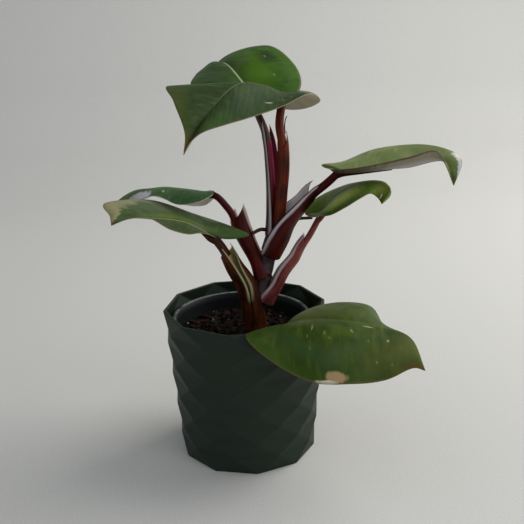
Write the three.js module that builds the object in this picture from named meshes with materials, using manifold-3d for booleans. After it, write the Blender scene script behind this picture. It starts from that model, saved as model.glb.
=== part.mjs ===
// A potted philodendron with seven leaves on one short stem, standing in a plain inner pot inside a
// ten-sided faceted outer pot. Millimetres, +Z up. The foot of the outer pot is on Z = 0 and its axis is
// the Z axis. The front is the side seen when looking along +Y.

import * as THREE from "three";
import { mergeVertices } from "three/addons/utils/BufferGeometryUtils.js";
import Module from "manifold-3d";

const wasm = await Module();
wasm.setup();

// Outer pot: ten rings of ten corners, each ring turned half a step against the one below
const POT_SIDES = 10;
const POT_BANDS = 9;
const POT_HEIGHT = 115.4;
const POT_FOOT_RADIUS = 52.5;
const POT_RIM_RADIUS = 62.2;
const POT_RIM_TURN = 6.07;
const POT_WALL = 2.6;
const POT_FLOOR = 4;

// Inner pot: a round, tapered plastic pot with a rolled rim
const INNER_FLOOR_Z = 4.3;
const INNER_CENTRE_X = -2.7;
const INNER_RIM_Z = 108.4;
const INNER_FOOT_RADIUS = 40;
const INNER_RIM_RADIUS = 52.6;
const INNER_WALL = 1.2;
const INNER_ROLL = 2;

// Potting mix
const SOIL_TOP_Z = 95.5;
const SOIL_RINGS = [9, 17, 25, 33, 40.5];
const SOIL_SPOKES = 26;
const SOIL_BUMP = 1.6;
const CHIP_COUNT = 15;

// Fits between neighbouring pieces
const GAP = 0.35;

// Main stem, from inside the potting mix to the growing tip: centre points and radii
const STEM_PATH = [[8, 0, 82], [8, 0, 101], [10, 0, 115], [14, 0, 131], [16.5, 0, 141], [19.5, 0, 155], [22, 0, 176]];
const STEM_RADII = [4.9, 5.4, 5.3, 5.3, 5.2, 4.9, 3];
const STEM_NODES = [0.42, 0.6, 0.76];
const STEM_STATIONS = 20;
const AERIAL_ROOTS = [
  { path: [[21, -1, 173.5], [14, -3.5, 175.5], [7.5, -6, 173.4]], radii: [1.5, 1.3] },
  { path: [[22, 1.5, 174], [31, 6, 178], [42, 5, 180.5], [53, 4.5, 181]], radii: [1.3, 1.1] },
];

// Blades: each half is stretched between the midrib and one margin. Every margin point is paired with the
// place on the midrib, as a share of its length, where its side vein leaves.
const VEIN_ROOTS = [0, 0, 0.01, 0.05, 0.2, 0.42, 0.66, 0.84, 1];
const BLADE_ROWS = 15;
const BLADE_COLUMNS = [0, 0.07, 0.36, 0.68, 1];
const BLADE_THICKNESS = 0.8;
const KEEL_DEPTH = 1.5;

// Petioles: a round core whose lower part widens into an open sheath
const PETIOLE_STATIONS = 10;
const PETIOLE_SIDES = 8;
const SHEATH_COLUMNS = 6;
const SHEATH_WALL = 0.9;

// Leaves, from the lowest up. Points are in mm, each row running from the base of the blade to its tip.
const LEAVES = {
  lowest: {
    midrib: [[29, -40, 113], [41, -48, 120], [66, -56, 122], [95, -64, 119], [113, -70, 112.5], [122, -76, 91]],
    left: [[37, -28, 112], [44, -18, 112], [54, -20, 118], [77, -16, 120], [94, -22, 118], [102, -38, 105], [113, -58, 98]],
    right: [[14, -53, 114.5], [0, -64, 117], [12, -80, 108], [41, -88, 92], [70, -90, 90], [93, -86, 90], [112, -80, 95]],
    arch: { left: [0.05, 0.1, 0.1, 0.06, 0.05], right: [0, 0, 0.13, 0.26, 0.22, 0.12, 0.1] },
    petiole: { path: [[9, -19, 82], [9.5, -19.5, 94], [15, -26, 103], [23, -34, 109], [29, -40, 112]], core: [3, 2.7] },
  },
  left_lower: {
    midrib: [[-21, -10, 173], [-39, -26, 188], [-59, -46, 197], [-74, -62, 202], [-84, -72, 200]],
    left: [[-19, -15, 173.5], [-22, -27, 179], [-28, -44, 185.5], [-36, -61, 189.5], [-47, -71, 196], [-59, -73, 204], [-72, -72, 204]],
    right: [[-9, -9, 170.5], [5, -7, 172.5], [-9, -3, 179], [-39, 21, 184], [-66, -2, 200], [-90, -51, 210], [-86, -63, 204]],
    arch: { left: [0, 0], right: [0.06, 0.06] },
    petiole: {
      path: [[8, -2, 96.4], [7.8, -2, 104], [5, -4, 121], [1.5, -6, 134], [-5.5, -8, 147], [-13.5, -10, 162], [-20.5, -10, 172.5]],
      core: [4, 3.3],
      sheath: { radii: [8.7, 8.5, 8, 6.8, 5.6], spread: [179, 179, 174, 166, 130], end: 0.8, tip: 0.1, open: [[-0.4, -1, 0], [0.8, -0.7, 0.2]] },
    },
  },
  right_lower: {
    midrib: [[58, 4, 182], [68, -4, 197], [81, -16, 208], [96, -26, 213], [103, -36, 209], [96, -42, 201]],
    left: [[48.5, 12, 181.5], [51, 22, 187], [67, 28, 195], [84, 26, 201], [99, 9, 205], [107, -10, 206], [103, -29, 203]],
    right: [[51, -9, 185], [48, -15, 188], [61, -26, 190], [72, -36, 198], [81, -44, 206], [88, -44, 209], [95, -35, 203]],
    arch: { left: [0.1, 0.1], right: [0.1, 0.1] },
    petiole: {
      path: [[15.5, -1, 119], [19, -1.5, 125], [23.5, -2, 132.5], [29, -2, 144], [38.5, 0, 155], [48.5, 2, 166], [57.5, 4, 181]],
      core: [3.4, 2.4],
      sheath: { radii: [7.4, 6.4, 6.8, 6.2, 4.4], spread: [150, 125, 112, 112, 118], end: 0.66, tip: 0.14, open: [[-0.98, 0.05, 0], [-0.98, 0, 0]] },
    },
  },
  left_upper: {
    midrib: [[-23, 6, 202], [-42, 18, 203], [-63, 30, 201], [-83, 40, 198], [-101, 46, 185]],
    left: [[-20, -9, 205], [-21, -17, 205], [-30, -22, 202], [-45, -19, 200], [-60, -7, 204], [-73, 15, 197], [-90, 34, 189]],
    right: [[-20, 21, 199], [-21, 28, 193], [-30, 34, 186], [-48, 46, 185], [-69, 55, 190], [-84, 54, 189], [-96, 47, 188]],
    arch: { left: [0.1, 0.1], right: [0.1, 0.1] },
    petiole: {
      path: [[14.6, -0.6, 137], [10.5, 1, 150], [4.5, 1, 165], [0, 2, 176], [-8, 4, 188], [-16, 5, 198], [-22, 6, 201.5]],
      core: [3.6, 2.6],
      sheath: { radii: [6.9, 5.8, 6.8, 8.2, 8.2], spread: [160, 135, 118, 112, 114], end: 0.65, tip: 0.08, open: [[0.75, 0.65, 0], [0.8, 0.5, 0.3]] },
    },
  },
  right_upper: {
    midrib: [[73, 0, 217], [95, -6, 218.5], [119, -13, 220.5], [142, -24, 226], [148, -32, 210]],
    left: [[65, 14, 216], [62, 20, 218], [79, 30, 218], [103, 28, 227], [132, 13, 232], [149, -7, 231], [154, -28, 226]],
    right: [[64, -13, 221], [65, -22, 222], [76, -31, 224], [93, -39, 228], [116, -41, 233], [132, -37, 236], [140, -33, 228]],
    arch: { left: [0.05, 0.05], right: [-0.08, -0.08] },
    petiole: {
      path: [[20.5, -2.5, 156], [25.5, -5.5, 169], [30.5, -7.5, 182.5], [39, -7, 193], [50, -4, 199.5], [62, -1, 207.5], [72, 0, 216]],
      core: [4, 3],
      sheath: { radii: [8, 9.2, 9.2, 8, 6], spread: [162, 150, 122, 115, 125], end: 0.66, tip: 0.12, open: [[-1, 0.1, 0], [-0.85, -0.45, 0.2]] },
    },
  },
  crown_back: {
    midrib: [[11, 54, 266], [3, 73, 277], [-9, 105, 288], [-19, 140, 284], [-28, 165, 272]],
    left: [[2, 41, 261], [-17, 45, 263], [-35, 58, 274], [-34, 90, 280], [-28, 119, 284], [-25, 143, 283], [-26, 156, 277]],
    right: [[20, 43, 260], [40, 43, 263], [50, 62, 274], [46, 92, 288], [28, 120, 301], [0, 146, 295], [-20, 160, 280]],
    arch: { left: [0.12, 0.12], right: [0.08, 0.08] },
    petiole: {
      path: [[23.5, -1, 170], [25, -0.5, 187], [25, 0.5, 206], [23.5, 3, 226], [20.5, 6, 242], [16, 18, 254], [12, 38, 261], [11, 53, 265]],
      core: [3.4, 2.8],
      sheath: { radii: [6.8, 6.9, 6.2, 5.2, 4.4], spread: [125, 112, 105, 105, 112], end: 0.56, tip: 0.1, open: [[0.65, -0.75, 0], [0.75, -0.65, 0]] },
    },
  },
  crown_front: {
    midrib: [[34, 14, 272], [18, 6, 279], [0, -10, 281], [-19, -38, 266], [-36, -60, 242]],
    left: [[51.5, -4, 273], [46, -14, 273], [29, -24, 266.5], [8, -39, 262], [-9, -50, 259], [-23, -60, 256], [-31, -60, 250]],
    right: [[53, 26, 271.5], [61.5, 34, 263], [40, 36, 257.5], [-9, 18, 270], [-46, -16, 282], [-42, -40, 274], [-35, -54, 256]],
    arch: { left: [0.03, 0.01], right: [0.03, 0.03] },
    petiole: {
      path: [[25, -1.5, 172], [27.5, -2, 186], [29.5, -2, 203], [31.5, -1.5, 221], [31.2, 0, 237], [29.5, 4, 252], [33, 13, 270]],
      core: [3.7, 3],
      sheath: { radii: [5.4, 5.1, 4.7, 4.4, 4.1], spread: [105, 108, 112, 116, 120], end: 0.62, tip: 0.12, open: [[0.5, 0.8, 0], [0.6, 0.8, 0]] },
    },
  },
};

// Colours
const COLOURS = {
  outer_pot: 0x28372e,
  inner_pot: 0x23262b,
  potting_mix: 0x2a1d17,
  stem: 0x6b4a48,
  petiole: 0x6a2a22,
  blade: 0x3f6a35,
};

// Small helpers

// The same spread of random numbers on every run.
function seededRandom(seed) {
  let state = seed;
  return () => {
    state = (state * 1664525 + 1013904223) % 4294967296;
    return state / 4294967296;
  };
}

const vector = (p) => new THREE.Vector3(p[0], p[1], p[2]);

const curveThrough = (points) => new THREE.CatmullRomCurve3(points.map(vector), false, "catmullrom", 0.5);

// A value read off an evenly spaced list, joined by a smooth curve.
function readTable(values, share) {
  const x = Math.min(Math.max(share, 0), 1) * (values.length - 1);
  const i = Math.min(Math.floor(x), values.length - 2);
  const f = x - i;
  const before = i > 0 ? values[i - 1] : 2 * values[i] - values[i + 1];
  const after = i + 2 < values.length ? values[i + 2] : 2 * values[i + 1] - values[i];
  const slopeIn = (values[i + 1] - before) / 2;
  const slopeOut = (after - values[i]) / 2;
  const rise = values[i + 1] - values[i];
  return values[i] + slopeIn * f + (3 * rise - 2 * slopeIn - slopeOut) * f * f + (slopeIn + slopeOut - 2 * rise) * f * f * f;
}

// A closed solid from points and triangles. Points in the same place become one, and triangles that
// shrink to a line are left out.
function solidFrom(points, triangles) {
  const known = new Map();
  const kept = [];
  const index = points.map((p) => {
    const key = [p.x, p.y, p.z].map((c) => Math.round(c * 1000)).join(",");
    if (!known.has(key)) {
      known.set(key, kept.length);
      kept.push(p);
    }
    return known.get(key);
  });
  const corners = triangles
    .map((t) => t.map((i) => index[i]))
    .filter((t) => t[0] !== t[1] && t[1] !== t[2] && t[2] !== t[0]);
  return new wasm.Manifold(
    new wasm.Mesh({
      numProp: 3,
      vertProperties: new Float32Array(kept.flatMap((p) => [p.x, p.y, p.z])),
      triVerts: new Uint32Array(corners.flat()),
    }),
  );
}

// The bodies of a solid once points that lie together are one.
function weldedBodies(solid) {
  const cut = solid.getMesh();
  const geometry = new THREE.BufferGeometry();
  geometry.setAttribute("position", new THREE.BufferAttribute(cut.vertProperties, 3));
  geometry.setIndex(new THREE.BufferAttribute(cut.triVerts, 1));
  const merged = mergeVertices(geometry, 1e-3);
  const welded = new wasm.Mesh({
    numProp: 3,
    vertProperties: merged.getAttribute("position").array,
    triVerts: new Uint32Array(merged.index.array),
  });
  return new wasm.Manifold(welded).decompose();
}

// The largest body of a solid, without crumbs left by a cut or pockets closed in by a join.
function mainBody(solid) {
  let bodies = weldedBodies(solid);
  let largest = solid;
  do {
    largest = bodies.reduce((kept, body) => (body.volume() > kept.volume() ? body : kept));
    bodies = weldedBodies(largest);
  } while (bodies.length > 1);
  return largest;
}

// A solid from the rings of a sweep, each a loop that runs anticlockwise seen from the far end.
function solidFromRings(rings) {
  const sides = rings[0].length;
  const points = rings.flat();
  const triangles = [];
  for (let r = 0; r + 1 < rings.length; r += 1) {
    for (let i = 0; i < sides; i += 1) {
      const j = (i + 1) % sides;
      triangles.push([r * sides + i, r * sides + j, (r + 1) * sides + j]);
      triangles.push([r * sides + i, (r + 1) * sides + j, (r + 1) * sides + i]);
    }
  }
  const last = (rings.length - 1) * sides;
  for (let i = 1; i + 1 < sides; i += 1) {
    triangles.push([0, i + 1, i]);
    triangles.push([last, last + i, last + i + 1]);
  }
  return solidFrom(points, triangles);
}

// A plate between two sheets that share one list of triangles, with its open edges closed.
function solidFromSheets(upper, lower, triangles) {
  const count = upper.length;
  const faces = triangles.map((t) => [...t]);
  triangles.forEach(([a, b, c]) => faces.push([count + a, count + c, count + b]));
  const used = new Set(triangles.flatMap(([a, b, c]) => [`${a} ${b}`, `${b} ${c}`, `${c} ${a}`]));
  triangles.forEach(([a, b, c]) => {
    [[a, b], [b, c], [c, a]].forEach(([from, to]) => {
      if (!used.has(`${to} ${from}`)) {
        faces.push([to, from, count + from]);
        faces.push([to, count + from, count + to]);
      }
    });
  });
  return solidFrom([...upper, ...lower], faces);
}

// The triangles of a grid of points with the given number of rows and columns.
function gridTriangles(rows, columns) {
  const triangles = [];
  for (let r = 0; r + 1 < rows; r += 1) {
    for (let c = 0; c + 1 < columns; c += 1) {
      const a = r * columns + c;
      triangles.push([a, a + 1, a + columns + 1]);
      triangles.push([a, a + columns + 1, a + columns]);
    }
  }
  return triangles;
}

// A solid from a three.js geometry placed by a matrix.
function solidFromGeometry(geometry, matrix) {
  const placed = geometry.clone().applyMatrix4(matrix);
  const position = placed.getAttribute("position");
  const points = Array.from({ length: position.count }, (_, i) => new THREE.Vector3().fromBufferAttribute(position, i));
  const order = Array.from(placed.index.array);
  const triangles = Array.from({ length: order.length / 3 }, (_, i) => order.slice(3 * i, 3 * i + 3));
  return solidFrom(points, triangles);
}

// A round, tapering rod along a path.
function rod(path, radii, stations, sides, extra = 0) {
  const curve = curveThrough(path);
  const rings = Array.from({ length: stations }, (_, i) => {
    const share = i / (stations - 1);
    const centre = curve.getPointAt(share);
    const along = curve.getTangentAt(share);
    const across = new THREE.Vector3(0, 1, 0).projectOnPlane(along).normalize();
    const other = along.clone().cross(across);
    const radius = readTable(radii, share) + extra;
    return Array.from({ length: sides }, (__, k) => {
      const angle = (2 * Math.PI * k) / sides;
      return centre
        .clone()
        .addScaledVector(across, radius * Math.cos(angle))
        .addScaledVector(other, radius * Math.sin(angle));
    });
  });
  return solidFromRings(rings);
}

// Outer pot

function potRing(level, inset) {
  const height = (POT_HEIGHT * level) / POT_BANDS;
  const radius = POT_FOOT_RADIUS + ((POT_RIM_RADIUS - POT_FOOT_RADIUS) * level) / POT_BANDS - inset;
  const turn = POT_RIM_TURN + ((POT_BANDS - level) * 180) / POT_SIDES;
  return Array.from({ length: POT_SIDES }, (_, i) => {
    const angle = THREE.MathUtils.degToRad(turn + (360 * i) / POT_SIDES);
    return new THREE.Vector3(radius * Math.cos(angle), radius * Math.sin(angle), height);
  });
}

function outerPot() {
  const rings = Array.from({ length: POT_BANDS + 1 }, (_, level) => potRing(level, 0));
  const inside = Array.from({ length: POT_BANDS + 1 }, (_, level) => potRing(level, POT_WALL)).reverse();
  inside[POT_BANDS].forEach((p) => p.setZ(POT_FLOOR));
  rings.push(...inside);
  const points = rings.flat();
  const triangles = [];
  for (let r = 0; r + 1 < rings.length; r += 1) {
    const here = r * POT_SIDES;
    const next = here + POT_SIDES;
    for (let i = 0; i < POT_SIDES; i += 1) {
      const j = (i + 1) % POT_SIDES;
      // A ring above the rim's own is turned back by half a step, and one below it forward.
      const back = r < POT_BANDS;
      const level = r === POT_BANDS;
      if (level || back) {
        const k = level ? j : i;
        triangles.push([here + i, here + j, next + (level ? k : j)]);
        triangles.push([here + i, next + (level ? k : j), next + i]);
      } else {
        triangles.push([here + i, here + j, next + i]);
        triangles.push([here + j, next + j, next + i]);
      }
    }
  }
  const last = (rings.length - 1) * POT_SIDES;
  for (let i = 1; i + 1 < POT_SIDES; i += 1) {
    triangles.push([0, i + 1, i]);
    triangles.push([last, last + i, last + i + 1]);
  }
  return solidFrom(points, triangles);
}

// Inner pot

// The outside of the inner pot's wall at a height.
function innerPotRadius(z) {
  const spread = INNER_RIM_RADIUS - INNER_ROLL - INNER_FOOT_RADIUS;
  return INNER_FOOT_RADIUS + (spread * (z - INNER_FLOOR_Z)) / (INNER_RIM_Z - INNER_FLOOR_Z);
}

function innerPot() {
  const profile = [
    [0, INNER_FLOOR_Z],
    [INNER_FOOT_RADIUS, INNER_FLOOR_Z],
    [innerPotRadius(INNER_RIM_Z - 5), INNER_RIM_Z - 5],
    [INNER_RIM_RADIUS, INNER_RIM_Z - 4.4],
    [INNER_RIM_RADIUS + 0.3, INNER_RIM_Z - 1],
    [INNER_RIM_RADIUS - 0.6, INNER_RIM_Z],
    [innerPotRadius(INNER_RIM_Z) - INNER_WALL + 0.4, INNER_RIM_Z],
    [innerPotRadius(INNER_RIM_Z - 2) - INNER_WALL, INNER_RIM_Z - 2],
    [INNER_FOOT_RADIUS - INNER_WALL, INNER_FLOOR_Z + 1.5],
    [0, INNER_FLOOR_Z + 1.5],
  ].map(([radius, z]) => new THREE.Vector2(radius, z));
  const lathe = new THREE.LatheGeometry(profile, 48);
  const upright = new THREE.Matrix4().makeRotationX(Math.PI / 2);
  return solidFromGeometry(lathe, upright.premultiply(new THREE.Matrix4().makeTranslation(INNER_CENTRE_X, 0, 0)));
}

// Potting mix: a bumpy fill with bark chips, and plain holes for what stands in it

function soilSurface(random) {
  const edgeAt = (z) => innerPotRadius(z) - INNER_WALL - 0.6;
  const footZ = INNER_FLOOR_Z + 1.8;
  const ring = (radius, height) =>
    Array.from({ length: SOIL_SPOKES }, (_, i) => {
      const angle = (2 * Math.PI * i) / SOIL_SPOKES;
      const x = INNER_CENTRE_X + radius * Math.cos(angle);
      const y = radius * Math.sin(angle);
      return new THREE.Vector3(x, y, height(x, y));
    });
  const bumpy = (x, y) => {
    const fromStem = Math.hypot(x - 8, y + 8);
    const calm = THREE.MathUtils.smoothstep(fromStem, 14, 24);
    return SOIL_TOP_Z + calm * SOIL_BUMP * (2 * random() - 1);
  };
  const rings = [ring(0.01, () => footZ)];
  rings.push(ring(edgeAt(footZ), () => footZ));
  rings.push(ring(edgeAt(SOIL_TOP_Z - 2), bumpy));
  [...SOIL_RINGS].reverse().forEach((radius) => rings.push(ring(radius, bumpy)));
  return rings;
}

function pottingMix() {
  const random = seededRandom(7);
  let mix = solidFromRings(soilSurface(random));
  for (let i = 0; i < CHIP_COUNT; i += 1) {
    const angle = 2 * Math.PI * (i + 0.6 * random()) * 0.382;
    const distance = 24 + 20 * random();
    const size = [5 + 5 * random(), 3.5 + 2.5 * random(), 2 + random()];
    const chip = new THREE.BoxGeometry(size[0], size[1], size[2]);
    const place = new THREE.Matrix4().compose(
      new THREE.Vector3(INNER_CENTRE_X + distance * Math.cos(angle), distance * Math.sin(angle), SOIL_TOP_Z + 0.9),
      new THREE.Quaternion().setFromEuler(new THREE.Euler(0.5 * random() - 0.25, 0.5 * random() - 0.25, 6 * random())),
      new THREE.Vector3(1, 1, 1),
    );
    mix = mix.add(solidFromGeometry(chip, place));
  }
  const upright = new THREE.Matrix4().makeRotationX(Math.PI / 2);
  [
    { x: 8, y: 0, radius: 5.9, foot: 81.5 },
    { x: 9.5, y: -19.5, radius: 4.8, foot: 81.5 },
  ].forEach(({ x, y, radius, foot }) => {
    const hole = new THREE.CylinderGeometry(radius, radius, 30, 24);
    const place = new THREE.Matrix4().makeTranslation(x, y, foot + 15).multiply(upright);
    mix = mix.subtract(solidFromGeometry(hole, place));
  });
  return mix;
}

// Main stem, with its swollen leaf scars and two aerial roots

function mainStem(extra = 0) {
  const swelling = (share) =>
    STEM_NODES.reduce((sum, node) => sum + 0.6 * Math.exp(-(((share - node) / 0.018) ** 2)), 0);
  const radii = Array.from({ length: STEM_STATIONS }, (_, i) => {
    const share = i / (STEM_STATIONS - 1);
    return readTable(STEM_RADII, share) + swelling(share);
  });
  const stem = rod(STEM_PATH, radii, STEM_STATIONS, 10, extra);
  return AERIAL_ROOTS.reduce((joined, root) => joined.add(rod(root.path, root.radii, 7, 6, extra)), stem);
}

// Blades

// The mid-surface of a blade, in rows from the base to the tip and columns from the left margin to the right.
function bladeGrid(leaf) {
  const midrib = curveThrough(leaf.midrib);
  const base = leaf.midrib[0];
  const tip = leaf.midrib[leaf.midrib.length - 1];
  const halves = ["left", "right"].map((side) => {
    const margin = curveThrough([base, ...leaf[side], tip]);
    const handed = side === "right" ? 1 : -1;
    const rows = Array.from({ length: BLADE_ROWS + 1 }, (_, i) => {
      const share = i / BLADE_ROWS;
      const rootShare = Math.min(Math.max(readTable(VEIN_ROOTS, share), 0), 1);
      const root = midrib.getPointAt(rootShare);
      const span = margin.getPoint(share).sub(root);
      const up = span.clone().cross(midrib.getTangentAt(rootShare)).multiplyScalar(handed).normalize();
      return { root, span, up, arch: readTable(leaf.arch[side], share) };
    });
    const shoulder = Math.round((BLADE_ROWS * 3) / 8);
    const last = Math.round((BLADE_ROWS * 7.2) / 8);
    return rows.map(({ root, span, up, arch }, i) => {
      const steady = i < shoulder ? rows[shoulder].up : i > last ? rows[last].up : up;
      return BLADE_COLUMNS.map((t) =>
        root
          .clone()
          .addScaledVector(span, t)
          .addScaledVector(steady, span.length() * arch * 4 * t * (1 - t)),
      );
    });
  });
  return halves[0].map((leftRow, i) => [...leftRow.slice(1).reverse(), ...halves[1][i]]);
}

// The blade as a plate of even thickness with a keel under its midrib, grown all over by an extra amount.
function blade(leaf, extra = 0) {
  const grid = bladeGrid(leaf);
  const columns = grid[0].length;
  const centre = (columns - 1) / 2;
  const places = new Map();
  const points = [];
  const keel = [];
  const index = grid.flatMap((row, r) =>
    row.map((p, c) => {
      const key = [p.x, p.y, p.z].map((v) => Math.round(v * 500)).join(",");
      if (!places.has(key)) {
        places.set(key, points.length);
        points.push(p);
        keel.push(c === centre ? KEEL_DEPTH * (1 - r / BLADE_ROWS) : 0);
      }
      return places.get(key);
    }),
  );
  const triangles = gridTriangles(grid.length, columns)
    .map((t) => t.map((i) => index[i]))
    .filter((t) => t[0] !== t[1] && t[1] !== t[2] && t[2] !== t[0]);
  const normals = points.map(() => new THREE.Vector3());
  triangles.forEach(([a, b, c]) => {
    const normal = points[b].clone().sub(points[a]).cross(points[c].clone().sub(points[a]));
    [a, b, c].forEach((i) => normals[i].add(normal));
  });
  normals.forEach((n) => n.normalize());
  const half = BLADE_THICKNESS / 2 + extra;
  const upper = points.map((p, i) => p.clone().addScaledVector(normals[i], half));
  const lower = points.map((p, i) => p.clone().addScaledVector(normals[i], -half - keel[i]));
  return solidFromSheets(upper, lower, triangles);
}

// Petioles

// Where the core and the sheath stand at one place along a petiole. The core leans on the back of the
// sheath, and comes to the middle where the sheath ends.
function petioleFrame(petiole, share) {
  const curve = curveThrough(petiole.path);
  const place = Math.min(share, 1);
  const along = curve.getTangentAt(place);
  const open = petiole.sheath ? petiole.sheath.open.map(vector) : [new THREE.Vector3(0, 1, 0), new THREE.Vector3(0, 1, 0)];
  const inward = open[0].clone().lerp(open[1], share).projectOnPlane(along).normalize();
  const sideways = along.clone().cross(inward);
  const core = readTable(petiole.core, share);
  const centre = curve.getPointAt(place);
  if (!petiole.sheath) {
    return { centre, inward, sideways, core };
  }
  const { radii, end, tip } = petiole.sheath;
  const sheath = readTable(radii, share / (end + tip));
  const lean = 1 - THREE.MathUtils.smoothstep(share, end - 0.15, end + 0.1);
  centre.addScaledVector(inward, -lean * (sheath - core));
  return { centre, inward, sideways, core, sheath };
}

function petioleCore(petiole, extra) {
  const rings = Array.from({ length: PETIOLE_STATIONS }, (_, r) => {
    const frame = petioleFrame(petiole, r / (PETIOLE_STATIONS - 1));
    const radius = frame.core + extra;
    return Array.from({ length: PETIOLE_SIDES }, (__, k) => {
      const angle = (2 * Math.PI * k) / PETIOLE_SIDES;
      return frame.centre
        .clone()
        .addScaledVector(frame.inward, radius * Math.cos(angle))
        .addScaledVector(frame.sideways, radius * Math.sin(angle));
    });
  });
  return solidFromRings(rings);
}

function petioleSheath(petiole, extra) {
  const { end, tip, spread } = petiole.sheath;
  const length = curveThrough(petiole.path).getLength();
  const outside = [];
  const inside = [];
  for (let r = 0; r < PETIOLE_STATIONS; r += 1) {
    for (let c = 0; c <= SHEATH_COLUMNS; c += 1) {
      const across = (2 * c) / SHEATH_COLUMNS - 1;
      const share = (r / (PETIOLE_STATIONS - 1)) * (end + tip * across ** 2 + extra / length);
      const frame = petioleFrame(petiole, share);
      const edge = THREE.MathUtils.degToRad(readTable(spread, share / (end + tip))) + extra / frame.sheath;
      const angle = edge * across;
      const direction = frame.inward
        .clone()
        .multiplyScalar(-Math.cos(angle))
        .addScaledVector(frame.sideways, Math.sin(angle));
      const centre = frame.centre.clone().addScaledVector(frame.inward, frame.sheath - frame.core);
      outside.push(centre.clone().addScaledVector(direction, frame.sheath + extra));
      inside.push(centre.clone().addScaledVector(direction, frame.sheath - SHEATH_WALL - extra));
    }
  }
  return solidFromSheets(inside, outside, gridTriangles(PETIOLE_STATIONS, SHEATH_COLUMNS + 1));
}

function petioleSolid(petiole, extra = 0) {
  const core = petioleCore(petiole, extra);
  return petiole.sheath ? core.add(petioleSheath(petiole, extra)) : core;
}

// A block that lies just above the base of a blade, to trim the end of its petiole.
function endBlock(leaf) {
  const grid = bladeGrid(leaf);
  const base = vector(leaf.midrib[0]);
  const row = grid[Math.round((BLADE_ROWS * 3.4) / 8)];
  const left = row[0].clone().sub(base);
  const right = row[row.length - 1].clone().sub(base);
  const along = vector(leaf.midrib[1]).sub(base);
  const up = right.clone().cross(along).normalize().add(along.clone().cross(left).normalize()).normalize();
  const size = 16;
  const block = new THREE.BoxGeometry(size, size, size);
  const turn = new THREE.Quaternion().setFromUnitVectors(new THREE.Vector3(0, 0, 1), up);
  const centre = base.clone().addScaledVector(up, size / 2 - BLADE_THICKNESS / 2 - GAP);
  return solidFromGeometry(block, new THREE.Matrix4().compose(centre, turn, new THREE.Vector3(1, 1, 1)));
}

// Assembly

const part = new THREE.Group();

function place(name, solid, colour, roughness) {
  const mesh = solid.getMesh();
  const geometry = new THREE.BufferGeometry();
  geometry.setAttribute("position", new THREE.BufferAttribute(new Float32Array(mesh.vertProperties), 3));
  geometry.setIndex(new THREE.BufferAttribute(new Uint32Array(mesh.triVerts), 1));
  const piece = new THREE.Mesh(geometry, new THREE.MeshStandardMaterial({ color: colour, roughness }));
  piece.name = name;
  part.add(piece);
}

place("outer_pot", outerPot(), COLOURS.outer_pot, 0.6);
place("inner_pot", innerPot(), COLOURS.inner_pot, 0.5);
place("potting_mix", pottingMix(), COLOURS.potting_mix, 1);
place("main_stem", mainStem(), COLOURS.stem, 0.5);

// Each petiole is trimmed clear of the stem, of the petioles below it and of its own blade.
const neighbours = [mainStem(GAP)];
Object.entries(LEAVES).forEach(([name, leaf]) => {
  let petiole = petioleSolid(leaf.petiole);
  neighbours.forEach((other) => {
    petiole = petiole.subtract(other);
  });
  petiole = mainBody(petiole.subtract(endBlock(leaf)).subtract(blade(leaf, GAP)));
  neighbours.push(petioleSolid(leaf.petiole, GAP));
  place(`petiole_${name}`, petiole, COLOURS.petiole, 0.45);
  place(`blade_${name}`, blade(leaf), COLOURS.blade, 0.45);
});

export default part;
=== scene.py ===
import bisect
import math
import random

import bmesh
import bpy
from mathutils import Matrix, Vector, noise


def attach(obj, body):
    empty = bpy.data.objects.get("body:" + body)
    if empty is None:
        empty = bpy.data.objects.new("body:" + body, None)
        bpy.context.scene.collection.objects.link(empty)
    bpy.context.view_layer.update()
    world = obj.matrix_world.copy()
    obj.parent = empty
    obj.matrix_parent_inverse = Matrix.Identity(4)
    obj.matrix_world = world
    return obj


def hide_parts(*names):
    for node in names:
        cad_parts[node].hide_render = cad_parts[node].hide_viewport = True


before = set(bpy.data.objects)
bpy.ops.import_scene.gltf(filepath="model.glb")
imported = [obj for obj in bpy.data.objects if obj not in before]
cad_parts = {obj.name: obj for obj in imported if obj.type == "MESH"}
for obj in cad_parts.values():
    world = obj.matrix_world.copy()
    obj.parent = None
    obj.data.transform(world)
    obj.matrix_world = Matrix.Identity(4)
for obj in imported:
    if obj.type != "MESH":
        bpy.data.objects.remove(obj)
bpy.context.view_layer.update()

MM = 0.001


# OUTER POT
# A ten-sided cover pot, moulded in one piece in matt, very dark green polypropylene. Its wall is nine bands
# of flat triangles, because each ring of ten corners is turned half a step against the ring below it.

POT_SIDES = 10
POT_BANDS = 9
POT_HEIGHT = 115.4
POT_FOOT_RADIUS = 52.5
POT_RIM_RADIUS = 62.2
POT_RIM_TURN = 6.07
POT_WALL = 2.6
POT_FLOOR = 4.0
POT_EDGE_ROUND = 0.7
POT_EDGE_ANGLE = 4


def linear(hex_code):
    """An sRGB hex colour as linear RGBA."""
    channels = [int(hex_code[i:i + 2], 16) / 255 for i in (0, 2, 4)]
    return [c / 12.92 if c <= 0.04045 else ((c + 0.055) / 1.055) ** 2.4 for c in channels] + [1.0]


def add(tree, kind, inputs=None, **settings):
    """A new shader node. Each input gets a value, or a link from a socket or a node's first live output."""
    made = tree.nodes.new("ShaderNode" + kind)
    for name, value in settings.items():
        setattr(made, name, value)
    for name, value in (inputs or {}).items():
        if isinstance(value, bpy.types.Node):
            value = next(socket for socket in value.outputs if socket.enabled)
        if isinstance(value, bpy.types.NodeSocket):
            tree.links.new(value, made.inputs[name])
        else:
            made.inputs[name].default_value = value
    return made


def new_material(name):
    """An empty material and its node tree, to be closed with an output node."""
    made = bpy.data.materials.new(name)
    made.use_nodes = True
    made.node_tree.nodes.clear()
    return made, made.node_tree


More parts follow.
